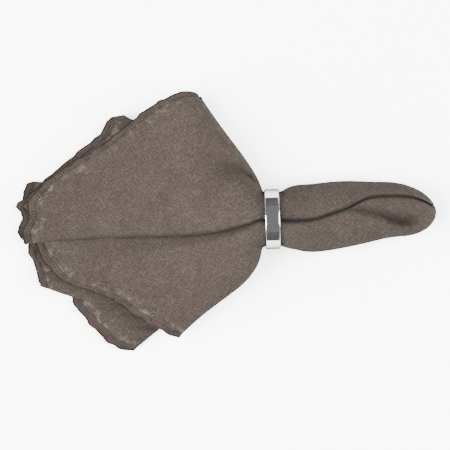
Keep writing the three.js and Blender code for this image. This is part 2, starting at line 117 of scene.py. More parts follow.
class Signal:
    """A shader value that can be reckoned with: each sum or product adds the node for it."""

    def __init__(self, tree, socket=None):
        self.tree = tree
        self.socket = socket

    def node(self, kind, settings=None, inputs=None, output=0):
        """Adds a node, makes its settings, links or sets its inputs, and returns an output."""
        made = self.tree.nodes.new(kind)
        for name, value in (settings or {}).items():
            setattr(made, name, value)
        for name, value in (inputs or {}).items():
            self.feed(value, made.inputs[name])
        return Signal(self.tree, made.outputs[output])

    def feed(self, value, socket):
        if isinstance(value, Signal):
            self.tree.links.new(value.socket, socket)
        else:
            socket.default_value = value

    def maths(self, operation, other=0.0, swapped=False):
        pair = (other, self) if swapped else (self, other)
        return self.node("ShaderNodeMath", {"operation": operation}, {0: pair[0], 1: pair[1]})

    def __add__(self, other):
        return self.maths("ADD", other)

    def __sub__(self, other):
        return self.maths("SUBTRACT", other)

    def __mul__(self, other):
        return self.maths("MULTIPLY", other)

    def __truediv__(self, other):
        return self.maths("DIVIDE", other)

    def __rsub__(self, other):
        return self.maths("SUBTRACT", other, swapped=True)

    def __abs__(self):
        return self.maths("ABSOLUTE")

    __radd__ = __add__
    __rmul__ = __mul__

    def step(self, start, end):
        """Soft step from 0 at start to 1 at end."""
        settings = {"interpolation_type": "SMOOTHSTEP"}
        inputs = {"Value": self, "From Min": start, "From Max": end}
        return self.node("ShaderNodeMapRange", settings, inputs)

    def band(self, middle, half, soft):
        """1 within half of the middle, fading to 0 over the soft width."""
        return 1 - abs(self - middle).step(half, half + soft)

    def blend(self, first, second):
        """Mixes two colours by this signal."""
        settings = {"data_type": "RGBA", "blend_type": "MIX"}
        inputs = {0: self, 6: first, 7: second}
        return self.node("ShaderNodeMix", settings, inputs, output=2)


card_paint = bpy.data.materials.new("card_paint")
card_paint.use_nodes = True
card_start = Signal(card_paint.node_tree)
card_place = card_start.node("ShaderNodeTexCoord", output="Object")
card_rise = card_start.node("ShaderNodeSeparateXYZ", inputs={0: card_place}, output=2)
# The cards are painted darker towards their foot. This is painted shade that stands in for a room growing
# darker towards the horizon in the ring's reflection.
card_painted_shade = card_rise.step(CARD_DARK_TO, CARD_HEIGHT).blend(CARD_FOOT_COLOUR, CARD_TOP_COLOUR)
card_start.feed(card_painted_shade, card_paint.node_tree.nodes["Principled BSDF"].inputs["Base Color"])
for card_name, card_side in (("back_card", 1), ("front_card", -1)):
    bpy.ops.object.select_all(action="DESELECT")
    bpy.ops.mesh.primitive_plane_add(size=1, rotation=(math.pi / 2, 0, 0),
                                     location=(0, card_side * CARD_AWAY, CARD_HEIGHT / 2))
    card = bpy.context.object
    card.name = card_name
    card.scale = (CARD_LENGTH, CARD_HEIGHT, 1)
    bpy.ops.object.transform_apply(location=True, rotation=True, scale=True)
    card.data.materials.append(card_paint)


# Napkin: one square of plain-weave linen with a narrow stitched hem. It is folded in quarters,
# gathered by its middle and drawn through the ring, and its four corners fan out on the table.
# The sheet is a grid of spokes, which run from the middle to the hem, by stations along them.
MM = 0.001
CLOTH_SIDE = 450.0
SHEET = 0.45
TIP_X, TIP_Y, TIP_Z = 159.6, 7.3, 12.0
TIP_TO_MOUTH = 132.0
RING_X, RING_Y, RING_Z = 35.5, 1.4, 22.92
RING_TURN = math.radians(2)
RING_WIDTH = 11.0
BUNDLE_RADIUS = 20.9
MOUTH_X = 27.5
MOUTH_SPREAD = 3.6
RIM_CLEAR = (-0.6, 1.6)
TOP_LEVEL = 7

# Fold lines round the middle of the cloth. side: which edge of the plan the cloth turns back at.
# ring, tail, tip: place across the bundle from -1 to 1. tip_from, tip_to: levels that it joins on
# the open tip. hem: where it meets the hem in the plan. bow, sway: sideways bends, halfway and
# nearer the ring. edge: where it lies round the square's edge, in half sides.
FOLDS = {
    "upper_edge": {"side": 1, "ring": 0.97, "tail": 0.985, "tip": 0.985, "tip_from": 0,
                   "tip_to": 7, "hem": (-18.5, 94.0), "bow": 0, "sway": 2.2, "edge": 0},
    "lobe_edge": {"side": -1, "tip_from": 7, "tip_to": 7,
                  "hem": (-152.2, -17.4), "bow": 0, "sway": -6.3, "edge": 1},
    "tuck_valley": {"side": 1, "tip_from": 7, "tip_to": 7,
                    "hem": (-134, 0), "bow": 0, "sway": -5.5, "edge": 1.12},
    "lower_edge": {"side": -1, "ring": -0.95, "tail": -0.985, "tip": -0.985, "tip_from": 7,
                   "tip_to": 5.6, "hem": (-35.4, -88.3), "bow": -0.8, "sway": -6.8, "edge": 2},
    "under_edge": {"side": 1, "ring": 0.64, "tail": 0.74, "tip": -0.97, "tip_from": 3.8,
                   "tip_to": 3.2, "hem": (-77.5, 80.2), "bow": 3, "sway": 0, "edge": 4},
    "flap_edge": {"side": -1, "ring": -0.42, "tail": -0.3, "tip": -0.97, "tip_from": 2.5,
                  "tip_to": 2.1, "hem": (-140.1, -48.6), "bow": -32, "sway": 0, "edge": 5},
    "flap_valley": {"side": 1, "ring": 0.22, "tail": 0.25, "tip": -0.97, "tip_from": 1.9,
                    "tip_to": 1.5, "hem": (-121, -34), "bow": -22, "sway": 0, "edge": 5.12},
    "inner_edge": {"side": -1, "ring": -0.8, "tail": -0.94, "tip": -0.97, "tip_from": 1.1,
                   "tip_to": 0, "hem": (-70.1, -98.4), "bow": 0, "sway": 0, "edge": 6},
}

# Tucks: two folds that lay three sheets over one another. They open out towards the tip, where the
# three sheets become one, at the opened level.
TUCKS = {
    "lobe": {"edge": "lobe_edge", "valley": "tuck_valley", "opened": 7, "levels": (150, 158)},
    "flap": {"edge": "flap_edge", "valley": "flap_valley", "opened": 2, "levels": (78, 104),
             "first": "under_edge", "last": "inner_edge", "shares": (0.35, 0.65),
             "shifts": (44, 62), "parts": (60, 84)},
}
PLAIN_SHIFT = (44, 62)
TIP_PLACES = (112, 150)
TIP_LEVELS = (136, 155)

# Panels between the folds, in order round the middle. spokes: how many, with most where it shows.
# grain: degrees that its threads run at in the plan. hem: places of its hem in the plan. corner: which
# of them is a corner of the square.
PANELS = [
    {"from": "upper_edge", "to": "lobe_edge", "level": 7, "hem_level": 7, "grain": 33, "spokes": 92,
     "hem": [(-19.3, 96.0), (-21.6, 97.9), (-25.3, 98.7), (-31.2, 97.9), (-43.9, 93.4), (-59.1, 84.4),
             (-75.5, 71.3), (-96.5, 55.5), (-123.2, 39.1), (-141.1, 24.9), (-150.1, 11.1),
             (-149.8, 1.4), (-154.1, -10.3)]},
    {"from": "lobe_edge", "to": "tuck_valley", "level": 6.7, "hem_level": 5.9, "grain": 33, "spokes": 5,
     "hem": [(-143, -8)]},
    {"from": "tuck_valley", "to": "lower_edge", "level": 6.4, "hem_level": 4.8, "grain": -34,
     "spokes": 80,
     "hem": [(-140, -8), (-143.3, -17), (-140.1, -26.6), (-134.1, -34.6), (-122.1, -45.8),
             (-101.3, -53), (-81.2, -61.8), (-66, -72.8), (-49.4, -81.8), (-37.9, -87.6)]},
    {"from": "lower_edge", "to": "under_edge", "level": 4.8, "hem_level": 3.8, "grain": 38,
     "spokes": 52, "corner": 5,
     "hem": [(-60, -74), (-112, -44), (-146, -20), (-157, -9.6), (-153.6, 5), (-158.8, 11.2),
             (-149.4, 19.4), (-136.3, 31.8), (-120.5, 45), (-106.4, 56.9), (-93.3, 67.9),
             (-89.9, 75.1), (-81.9, 80.1)]},
    {"from": "under_edge", "to": "flap_edge", "level": 3.5, "hem_level": 2.9, "grain": 75, "spokes": 28,
     "hem": [(-90, 66), (-134, 26), (-147, -6), (-150.1, -18.6), (-145.3, -32.2)]},
    {"from": "flap_edge", "to": "flap_valley", "level": 2.5, "hem_level": 2.1, "grain": 75, "spokes": 5,
     "hem": [(-130, -41)]},
    {"from": "flap_valley", "to": "inner_edge", "level": 1.4, "hem_level": 1.2, "grain": -48, "spokes": 40,
     "hem": [(-119, -48), (-114.2, -63.4), (-106.1, -74.2), (-94.9, -86.4), (-86, -94.2),
             (-76.4, -98)]},
    {"from": "inner_edge", "to": "upper_edge", "level": 0, "hem_level": 0, "grain": 38, "spokes": 44,
     "corner": 5,
     "hem": [(-80, -92.5), (-104, -70), (-128, -46), (-147, -14), (-153.9, 15), (-149.4, 30.1),
             (-140, 29.5), (-112, 46), (-84, 68), (-40, 91)]},
]

# The gathered end: rows of x, lower and upper edge in the plan, underside and crown. The lobe's own
# rows give x, the upper lobe's edge, and how far the tuck reaches back under that edge.
TAIL = [(43, -20.7, 24, 1.6, 43.4), (50, -21.8, 26.7, 1, 42.9), (65, -23.6, 28.2, 0.3, 41.3),
        (78, -22.5, 29.7, 0.3, 39.3), (91, -20.2, 30.5, 0.3, 37.3), (109, -16.3, 30, 0.3, 34.2),
        (121, -13.3, 29.8, 0.3, 31.6), (132, -11.8, 29.6, 0.3, 29)]
LOBE = [(27.5, 1.1, 8.5), (43, 0.3, 8), (61, 0.8, 7.5), (70, 2.2, 7.2), (78, 5, 7), (87, 8.1, 6.6),
        (97, 12.5, 6.2), (104, 16.3, 5.8), (110, 18.1, 5.4), (125, 18.8, 4.5), (136, 18.6, 3.8),
        (144, 16.7, 3), (151, 13.7, 2), (157, 10.2, 1)]
UPPER_NOSE, LOWER_NOSE = 122.0, 132.0

# Creases and dents in the top: rows of x, y, depth, and width to the left and right of the row's
# course. The upper lobe's edge lies in a long valley, the lower lobe rolls over beside a channel in
# the gathered end, and the upper lobe sinks beside the ring.
VALLEYS = {
    "lobe_valley": [
        (-152, -17.4, 0.6, 6, 9), (-110, -15.6, 1.8, 8, 8), (-70, -13.8, 2.2, 10, 7),
        (-38, -11.8, 2.6, 12, 5),
        (-11, -9.2, 2.8, 11, 4), (10, -4.6, 3.4, 9, 4), (27.5, 1.1, 3.2, 8, 4),
        (43, 0.3, 3.4, 8, 4), (61, 0.8, 3, 8, 4), (78, 5, 2.4, 6, 3.5), (88, 8.5, 1.8, 4, 3),
        (97, 12.5, 1, 3, 3), (110, 18.1, 1.2, 2.5, 4), (125, 18.8, 1, 2.5, 3),
        (144, 16.7, 0.8, 2.5, 3), (157, 10.2, 0.2, 2.5, 3)],
    "tail_channel": [
        (90, 9.4, 0, 2, 1), (93.5, 8.8, 4.5, 2.5, 1), (98, 8.2, 6, 3.5, 1), (104, 6.9, 7, 4.5, 1.1),
        (113.6, 4.1, 8.5, 5.5, 1.3), (123, 0.8, 10, 6.5, 1.8), (132.6, -1.1, 11, 6.5, 2.6),
        (140, -0.6, 9, 5, 3.5), (149, 0.6, 0, 5, 3.5)],
    "ring_dent": [
        (30, 23.5, 1, 2, 2), (26, 26.8, 7, 3, 2), (22, 30, 11.5, 3.5, 3), (17.5, 34, 14, 4.5, 4),
        (11.4, 38.5, 13.5, 6.5, 5), (3.8, 43.5, 11, 9, 6), (-4, 46.5, 7.5, 12, 7),
        (-14, 49, 3.5, 14, 8), (-27, 50, 0, 14, 9)],
}


def ease(x, stretch):
    """Soft step from 0 before the stretch to 1 after it."""
    share = np.clip((x - stretch[0]) / (stretch[1] - stretch[0]), 0, 1)
    return share * share * (3 - 2 * share)


def mix(a, b, share):
    return a + (b - a) * share


def along(rows, x, column=1):
    """Reads a column of a table as a smooth curve. The table's first column is x."""
    table = np.array(rows, dtype=float)
    xs, values = table[:, 0], table[:, column]
    slopes = np.gradient(values, xs)
    i = np.clip(np.searchsorted(xs, x) - 1, 0, len(xs) - 2)
    step = xs[i + 1] - xs[i]
    t = np.clip((x - xs[i]) / step, 0, 1)
    bend = slopes[i] * step * t * (1 - t) ** 2 - slopes[i + 1] * step * t * t * (1 - t)
    return values[i] + (values[i + 1] - values[i]) * t * t * (3 - 2 * t) + bend


RING_FRONT = RING_X - RING_WIDTH / 2
RING_BACK = RING_X + RING_WIDTH / 2
SIDE_FLAT = 0.95
NOSE_EDGE = 0.45
UNDER_SHAPE = 0.6
LEAST_HALF = 0.01
SPAN_BLEND, HEIGHT_BLEND = 5, 6
UPPER_ROUND, LOWER_ROUND = 0.6, 0.5


def axis_y(x):
    """Height in the plan of the ring's axis, which is turned a little."""
    return RING_Y + math.tan(RING_TURN) * np.clip(x - RING_X, -RING_WIDTH, RING_WIDTH)


def bundle_span(x):
    """Middle and half width of the bundle, in the ring and towards the tip."""
    in_ring = 1 - ease(x, (RING_BACK, RING_BACK + SPAN_BLEND))
    spread = BUNDLE_RADIUS + MOUTH_SPREAD * ease(RING_FRONT - x, RIM_CLEAR)
    upper_share = np.clip((x - UPPER_NOSE) / (TIP_X - UPPER_NOSE), 0, 1)
    lower_share = np.clip((x - LOWER_NOSE) / (TIP_X - LOWER_NOSE), 0, 1)
    lower = mix(TIP_Y, along(TAIL, x, 1), (1 - lower_share ** 2) ** LOWER_ROUND)
    upper = mix(TIP_Y, along(TAIL, x, 2), (1 - upper_share ** 2) ** UPPER_ROUND)
    lower = mix(lower, axis_y(x) - spread, in_ring)
    upper = mix(upper, axis_y(x) + spread, in_ring)
    return (upper + lower) / 2, (upper - lower) / 2


def tail_heights(x, y):
    middle, half = bundle_span(x)
    across = np.minimum(SIDE_FLAT, np.abs(y - middle) / np.maximum(half, LEAST_HALF))
    arch = np.sqrt(1 - across * across)
    share = np.clip((x - LOWER_NOSE) / (TIP_X - LOWER_NOSE), 0, 1)
    scale = np.sqrt(1 - share * share)
    under = mix(TIP_Z, along(TAIL, x, 3), scale)
    crown = mix(TIP_Z, along(TAIL, x, 4), scale)
    edge = mix(under, crown, NOSE_EDGE)
    return mix(edge, crown, arch), mix(edge, under, arch ** UNDER_SHAPE)


def ring_heights(x, y):
    across = np.minimum(SIDE_FLAT * BUNDLE_RADIUS, np.abs(y - axis_y(x)))
    rise = np.sqrt(BUNDLE_RADIUS ** 2 - across ** 2)
    return RING_Z + rise, RING_Z - rise


# Heights of the fan: a mound at the ring's mouth that falls to the stack of hems. It bulges towards
# the lower edge just outside the mouth.
HEM_STACK = 8.3
MOUND = {"slope": 0.16, "mouth_half": 25, "widening": 1.25, "crown_fall": 72,
         "crown_shape": 1.25, "edge_fall": 40, "blend": 16, "bulge": 10, "bulge_at": 14,
         "across_shape": 2.4, "round": 0.42}


def fan_heights(x, y):
    out = np.maximum(MOUTH_X - x, 0)
    bulge = MOUND["bulge"] * out / MOUND["bulge_at"] * np.exp(1 - out / MOUND["bulge_at"])
    middle = RING_Y + MOUND["slope"] * out - bulge / 2
    half = MOUND["mouth_half"] + MOUND["widening"] * out + bulge / 2
    across = np.minimum(1, np.abs(y - middle) / half)
    fallen = np.exp(-(out / MOUND["crown_fall"]) ** MOUND["crown_shape"])
    crown = mix(HEM_STACK, RING_Z + BUNDLE_RADIUS, fallen)
    edge = mix(HEM_STACK, RING_Z, np.exp(-out / MOUND["edge_fall"]))
    arch = (1 - across ** MOUND["across_shape"]) ** MOUND["round"]
    return mix(edge, crown, arch), np.full_like(x, SHEET / 2)


def bundle_heights(x, y):
    """Top and underside of the whole bundle over a place in the plan."""
    ring_top, ring_under = ring_heights(x, y)
    tail_top, tail_under = tail_heights(x, y)
    fan_top, fan_under = fan_heights(x, y)
    to_tail = ease(x, (RING_BACK, RING_BACK + HEIGHT_BLEND))
    to_fan = ease(-x, (-RING_FRONT, MOUND["blend"] - RING_FRONT))
    top = mix(mix(ring_top, tail_top, to_tail), fan_top, to_fan)
    under = mix(mix(ring_under, tail_under, to_tail), fan_under, to_fan)
    return top, under


VALLEY_SHAPE = 1.6


def valley_depth(rows, x, y):
    """Depth of a valley over a place in the plan, taken from the nearest stretch of it."""
    table = np.array(rows, dtype=float)
    nearest = np.full(np.shape(x), np.inf)
    depth = np.zeros(np.shape(x))
    for start, end in zip(table[:-1], table[1:]):
        run = end[:2] - start[:2]
        dx, dy = x - start[0], y - start[1]
        share = np.clip((dx * run[0] + dy * run[1]) / run.dot(run), 0, 1)
        off_x, off_y = dx - share * run[0], dy - share * run[1]
        away = np.hypot(off_x, off_y)
        on_left = run[0] * off_y - run[1] * off_x > 0
        width = np.where(on_left, mix(start[3], end[3], share), mix(start[4], end[4], share))
        here = mix(start[2], end[2], share) * np.exp(-(away / width) ** VALLEY_SHAPE)
        depth = np.where(away < nearest, here, depth)
        nearest = np.minimum(away, nearest)
    return depth


def fold_across(name, x):
    """Place of a fold across the bundle, from the tip to the ring's mouth."""
    fold, tuck = FOLDS[name], TUCKS["flap"]
    if name not in (tuck["edge"], tuck["valley"]):
        shifted = mix(fold["ring"], fold["tail"], ease(x, PLAIN_SHIFT))
        return mix(shifted, fold["tip"], ease(x, TIP_PLACES))
    shifted = mix(fold["ring"], fold["tail"], ease(x, tuck["shifts"]))
    share = tuck["shares"][name == tuck["valley"]]
    opened = mix(fold_across(tuck["first"], x), fold_across(tuck["last"], x), share)
    return mix(shifted, opened, ease(x, tuck["parts"]))


TUCK_LIMIT = 0.97


def fold_tail_y(name, x):
    middle, half = bundle_span(x)
    lobe = TUCKS["lobe"]
    if name not in (lobe["edge"], lobe["valley"]):
        return middle + fold_across(name, x) * half
    reach = along(LOBE, x, 2) if name == lobe["valley"] else 0
    most = TUCK_LIMIT * half
    return np.clip(along(LOBE, x, 1) + reach, middle - most, middle + most)


# Stations along a spoke: by x from the tip to the ring, then close ones over the ring's rim, and by
# share from the ring's mouth to the hem.
TAIL_STEPS = 50
FAN_STEPS = 50
STEP_GROWTH = 1.15
FIRST_STEPS = (0.25, 0.9)
RIM_XS = (31.2, 30.4, 30.0, 29.7, 29.3, 28.5, MOUTH_X)
TAIL_END = 32.4
HEM_STEPS = (4.9, 4.4, 4.0, 2.6, 1.2, 0.35, 0.0)
HEM_REACH = 150.0
tail_start = TIP_X - FIRST_STEPS[1]
tail_run = np.linspace(0, 1, TAIL_STEPS + 1)[1:] ** STEP_GROWTH
TAIL_XS = np.concatenate([TIP_X - np.array(FIRST_STEPS),
                          mix(tail_start, TAIL_END, tail_run), RIM_XS])
hem_shares = 1 - np.array(HEM_STEPS) / HEM_REACH
fan_run = np.linspace(0, 1, FAN_STEPS)[1:] ** STEP_GROWTH
FAN_SHARES = np.concatenate([hem_shares[0] * fan_run, hem_shares[1:]])
IN_TAIL = len(TAIL_XS)

# These bring the highest place of each bend of a spoke to 1.
BOW_SCALE, SWAY_SCALE = 4, 9.48


def fan_line(mouth_y, hem_x, hem_y, bow, sway):
    """Plan line of a spoke in the fan, from the ring's mouth to its place on the hem."""
    share = FAN_SHARES
    run = np.array([hem_x - MOUTH_X, hem_y - mouth_y])
    run = run / np.hypot(*run)
    bend = bow * BOW_SCALE * share * (1 - share) + sway * SWAY_SCALE * share * (1 - share) ** 3
    return (mix(MOUTH_X, hem_x, share) + run[1] * bend, mix(mouth_y, hem_y, share) - run[0] * bend)


def fold_plan(name):
    """Plan line of a fold over all stations."""
    fold = FOLDS[name]
    mouth_y = float(fold_tail_y(name, np.array([MOUTH_X]))[0])
    fan_x, fan_y = fan_line(mouth_y, *fold["hem"], fold["bow"], fold["sway"])
    return np.concatenate([TAIL_XS, fan_x]), np.concatenate([fold_tail_y(name, TAIL_XS), fan_y])


FOLD_PLANS = {name: fold_plan(name) for name in FOLDS}
PANEL_AFTER = {panel["from"]: panel for panel in PANELS}
PANEL_BEFORE = {panel["to"]: panel for panel in PANELS}
STATION_X = np.concatenate([TAIL_XS, np.full(len(FAN_SHARES), MOUTH_X)])
IN_FAN = np.arange(len(STATION_X)) >= IN_TAIL
SHARE = np.concatenate([np.zeros(IN_TAIL), FAN_SHARES])


def tuck_of(name):
    return next((tuck for tuck in TUCKS.values() if name in (tuck["edge"], tuck["valley"])), None)


def panel_level(panel, x):
    """Level of a panel at x in the gathered end. Panels of a tuck meet where it has opened."""
    tuck = tuck_of(panel["from"]) or tuck_of(panel["to"])
    if not tuck:
        return np.full_like(x, panel["level"])
    return mix(panel["level"], tuck["opened"], ease(x, tuck["levels"]))


def station_level(panel):
    in_fan = mix(panel["level"], panel["hem_level"], SHARE)
    return np.where(IN_FAN, in_fan, panel_level(panel, STATION_X))


# The top sheet changes at the upper lobe's edge: below it the lower lobe rises to fill the bundle, and
# a narrow crease parts the two. The hidden sheets crumple, all in step, to take up more cloth.
GROOVE_AT_RING, GROOVE_AT_HEM = 2.2, 26.0
CREASE = {"depth": 5.2, "width": 1.2, "at_hem": 0.4}
CRUMPLE_SHARE = 0.58
CRUMPLE_STEP = 8.5
CRUMPLE_LEAN = 0.12
CRUMPLE_STARTS, CRUMPLE_ENDS = (-110, -20), (120, 145)
HIDDEN_OVER, HIDDEN_UNDER = (0, 1), (4.4, 5.6)
LOBE_X, LOBE_Y = (line[::-1] for line in FOLD_PLANS["lobe_edge"])
LOWER_LOBE = PANEL_AFTER["tuck_valley"]


def outwards(x):
    """Share of the way from the ring's mouth to the hem at the lobe's edge."""
    return np.clip((MOUTH_X - x) / (MOUTH_X - FOLDS["lobe_edge"]["hem"][0]), 0, 1)


def crease_depth(x, y):
    off = (y - np.interp(x, LOBE_X, LOBE_Y)) / CREASE["width"]
    return CREASE["depth"] * mix(1, CREASE["at_hem"], outwards(x)) * np.exp(-off * off)


def top_share(x, y):
    """The lower lobe rises to fill the bundle beside the upper lobe's edge."""
    outward = outwards(x)
    lower_level = panel_level(LOWER_LOBE, np.maximum(x, MOUTH_X))
    lower_level = mix(lower_level, LOWER_LOBE["hem_level"], outward)
    groove = mix(GROOVE_AT_RING, GROOVE_AT_HEM, outward)
    edge_y = np.interp(x, LOBE_X, LOBE_Y)
    return mix(1, lower_level / TOP_LEVEL, ease(edge_y - y, (0, groove)))


def level_height(level, x, y):
    top, under = bundle_heights(x, y)
    hollow = sum(valley_depth(rows, x, y) for rows in VALLEYS.values()) + crease_depth(x, y)
    full = (top - hollow - under) / top_share(x, y)
    hidden = ease(level, HIDDEN_OVER) * (1 - ease(level, HIDDEN_UNDER))
    crumple = CRUMPLE_SHARE * np.sin(2 * np.pi * (y + CRUMPLE_LEAN * x) / CRUMPLE_STEP) * hidden
    crumple = crumple * ease(x, CRUMPLE_STARTS) * (1 - ease(x, CRUMPLE_ENDS))
    return under + full * (level + crumple) / TOP_LEVEL


FOLD_SWINGS = (0, 0.3)
NO_LIMIT = 1e6


def fold_outward(name):
    """Sideways direction of a fold, square to its line in the plan."""
    x, y = FOLD_PLANS[name]
    run_x, run_y = np.gradient(x), np.gradient(y)
    length = np.hypot(run_x, run_y)
    side = FOLDS[name]["side"]
    turned = ease(SHARE, FOLD_SWINGS)
    out_x = mix(0, side * run_y / length, turned)
    out_y = mix(side, -side * run_x / length, turned)
    size = np.hypot(out_x, out_y)
    return out_x / size, out_y / size


def tuck_room(name):
    """Plan distance between a tuck's two folds, which limits how round they can be."""
    tuck = tuck_of(name)
    if not tuck:
        return np.full(len(STATION_X), NO_LIMIT)
    edge, valley = FOLD_PLANS[tuck["edge"]], FOLD_PLANS[tuck["valley"]]
    across = np.hypot(valley[0] - edge[0], valley[1] - edge[1])
    across[:IN_TAIL] = np.maximum(0, valley[1] - edge[1])[:IN_TAIL]
    return across


FOLD_REACH = 5.0
HEM_FLATNESS = 0.3
HEM_FLATTENS = (0.75, 1)
TUCK_FILL = 0.45


def fold_reach(name):
    """How far a fold's half circle reaches back from its edge at each station."""
    x, y = FOLD_PLANS[name]
    before = level_height(station_level(PANEL_BEFORE[name]), x, y)
    after = level_height(station_level(PANEL_AFTER[name]), x, y)
    closed = np.where(IN_FAN, 1, 1 - ease(STATION_X, TIP_PLACES))
    if tuck_of(name) is TUCKS["lobe"]:
        closed = np.ones(len(STATION_X))
    closed = closed * mix(1, HEM_FLATNESS, ease(SHARE, HEM_FLATTENS))
    least = np.minimum(np.abs(after - before) / 2, TUCK_FILL * tuck_room(name))
    return closed * np.minimum(least, FOLD_REACH)


FOLD_REACHES = {name: fold_reach(name) for name in FOLDS}
FOLD_OUTWARDS = {name: fold_outward(name) for name in FOLDS}
OPEN_SPREAD = 0.8
NARROW_TUCK = 7
NARROW_SHORT = 0.6
FOLD_FADE = (1, 3)


def fold_offset(name, turn):
    """Offset of a fold's spoke from its edge. turn runs from -1 to 1 round the half circle."""
    back = 1 - math.sqrt(1 - turn * turn)
    out_x, out_y = FOLD_OUTWARDS[name]
    dx, dy = -out_x * FOLD_REACHES[name] * back, -out_y * FOLD_REACHES[name] * back
    if tuck_of(name) is TUCKS["flap"]:
        spread = mix(OPEN_SPREAD, 0, ease(STATION_X, TIP_PLACES))
        opening = ease(STATION_X, TUCKS["flap"]["parts"])
        dy = dy - np.where(IN_FAN, 0, turn * spread * opening)
    return dx, dy


def towards_tip(level, tip_level):
    return np.where(IN_FAN, level, mix(level, tip_level, ease(STATION_X, TIP_LEVELS)))


def fold_spoke(name, turn):
    """Points of a spoke that runs along a fold."""
    fold = FOLDS[name]
    dx, dy = fold_offset(name, turn)
    x, y = FOLD_PLANS[name][0] + dx, FOLD_PLANS[name][1] + dy
    middle_side = 1 if name in ("lobe_edge", "flap_edge") else -1
    narrow = 1 - np.clip(tuck_room(name) / NARROW_TUCK, 0, 1)
    short = NARROW_SHORT * narrow if turn * middle_side > 0 else 0
    climb = (1 + turn * (1 - short)) / 2
    before = towards_tip(station_level(PANEL_BEFORE[name]), fold["tip_from"])
    after = towards_tip(station_level(PANEL_AFTER[name]), fold["tip_to"])
    return x, y, mix(level_height(before, x, y), level_height(after, x, y), climb)


def panel_spoke(panel, share, hem_x, hem_y):
    """Points of a spoke that runs along a panel, share of the way between its two folds."""
    first, last = FOLDS[panel["from"]], FOLDS[panel["to"]]
    first_y, last_y = FOLD_PLANS[panel["from"]][1], FOLD_PLANS[panel["to"]][1]
    mouth_y = mix(first_y[IN_TAIL - 1], last_y[IN_TAIL - 1], share)
    bow = mix(first["bow"], last["bow"], share)
    sway = mix(first["sway"], last["sway"], share)
    fan_x, fan_y = fan_line(mouth_y, hem_x, hem_y, bow, sway)
    x = np.concatenate([TAIL_XS, fan_x])
    y = np.concatenate([mix(first_y, last_y, share)[:IN_TAIL], fan_y])
    fade = np.where(IN_FAN, mix(*FOLD_FADE, SHARE), 1)
    for name, turn, weight in ((panel["from"], 1, (1 - share) ** fade),
                               (panel["to"], -1, share ** fade)):
        dx, dy = fold_offset(name, turn)
        x, y = x + dx * weight, y + dy * weight
    tip_level = mix(first["tip_to"], last["tip_from"], share)
    return x, y, level_height(towards_tip(station_level(panel), tip_level), x, y)


def smooth_route(points, count):
    """Evenly spaced points along a smooth line through the given ones, and the length passed."""
    points = np.array(points, dtype=float)
    passed = np.concatenate([[0], np.cumsum(np.hypot(*np.diff(points, axis=0).T))])
    shares = (np.arange(count) + 0.5) / count
    spots = shares * passed[-1]
    rows = np.column_stack([passed, points])
    return shares, along(rows, spots, 1), along(rows, spots, 2), passed / passed[-1]


def hem_place(edge):
    """Place on the square's edge, in cloth millimetres, edge half sides round from the first fold."""
    side, step = divmod((edge + 1) % 8, 2)
    half = CLOTH_SIDE / 2
    turn = math.pi / 2 * side
    c, s = math.cos(turn), math.sin(turn)
    return half * (c - (step - 1) * s), half * (s + (step - 1) * c)


# The hems ripple: all the sheets together rise and sink a little, and the hems wander in and out.
RIPPLES = [{"lift": 0.7, "wander": 0.45, "length": 19.0, "lean": 0.5},
           {"lift": 0.45, "wander": 0.3, "length": 11.0, "lean": 1.9}]
RIPPLE_STARTS = (0.72, 1.0)
RIPPLE_SLOPE = 0.6


def rippled(x, y, z):
    """Moves the outer part of a spoke with the ripples of the hem."""
    strength = ease(SHARE, RIPPLE_STARTS)
    for ripple in RIPPLES:
        way = x * math.sin(ripple["lean"]) + y * math.cos(ripple["lean"])
        lift = ripple["lift"] * (1 + np.sin(2 * np.pi * way / ripple["length"]))
        z = z + lift * strength * np.clip(z / HEM_STACK, 0, 1)
        round_hem = x[-1] + RIPPLE_SLOPE * abs(y[-1]) + z[-1]
        wander = ripple["wander"] * math.sin(2 * math.pi * round_hem / ripple["length"])
        x = x + wander * strength * (x - MOUTH_X) / HEM_REACH
        y = y + wander * strength * y / HEM_REACH
    return x, y, z


FOLD_TURNS = (-90, -60, -30, 0, 30, 60, 90)
FOLD_EDGE_SPAN = 0.008
ROUND = 8
spokes = []
for panel in PANELS:
    name = panel["from"]
    start = FOLDS[name]["edge"]
    end = FOLDS[panel["to"]]["edge"] or ROUND
    for degrees in FOLD_TURNS:
        edge = start + FOLD_EDGE_SPAN * degrees / 90
        spoke = rippled(*fold_spoke(name, math.sin(math.radians(degrees))))
        grain = (panel if degrees > 0 else PANEL_BEFORE[name])["grain"]
        spokes.append({"points": spoke, "hem": hem_place(edge % ROUND), "grain": grain})
    route = [FOLDS[name]["hem"], *panel["hem"], FOLDS[panel["to"]]["hem"]]
    shares, hem_xs, hem_ys, passed = smooth_route(route, panel["spokes"])
    pins, edges = [0, 1], [start + FOLD_EDGE_SPAN, end - FOLD_EDGE_SPAN]
    if "corner" in panel:
        pins.insert(1, passed[panel["corner"] + 1])
        edges.insert(1, (start + end) / 2)
    for share, hem_x, hem_y in zip(shares, hem_xs, hem_ys):
        edge = np.interp(share, pins, edges)
        spoke = rippled(*panel_spoke(panel, share, hem_x, hem_y))
        spokes.append({"points": spoke, "hem": hem_place(edge), "grain": panel["grain"]})

# Keep the bundle inside the bore.
BORE_MARGIN = 2
points = np.array([spoke["points"] for spoke in spokes]).transpose(2, 0, 1)
in_ring = np.abs(points[..., 0] - RING_X) < RING_WIDTH / 2 + BORE_MARGIN
centre_y = axis_y(points[..., 0])
away = np.hypot(points[..., 1] - centre_y, points[..., 2] - RING_Z)
squeeze = np.where(in_ring & (away > BUNDLE_RADIUS), BUNDLE_RADIUS / np.maximum(away, 1e-6), 1)
points[..., 1] = centre_y + (points[..., 1] - centre_y) * squeeze
points[..., 2] = RING_Z + (points[..., 2] - RING_Z) * squeeze

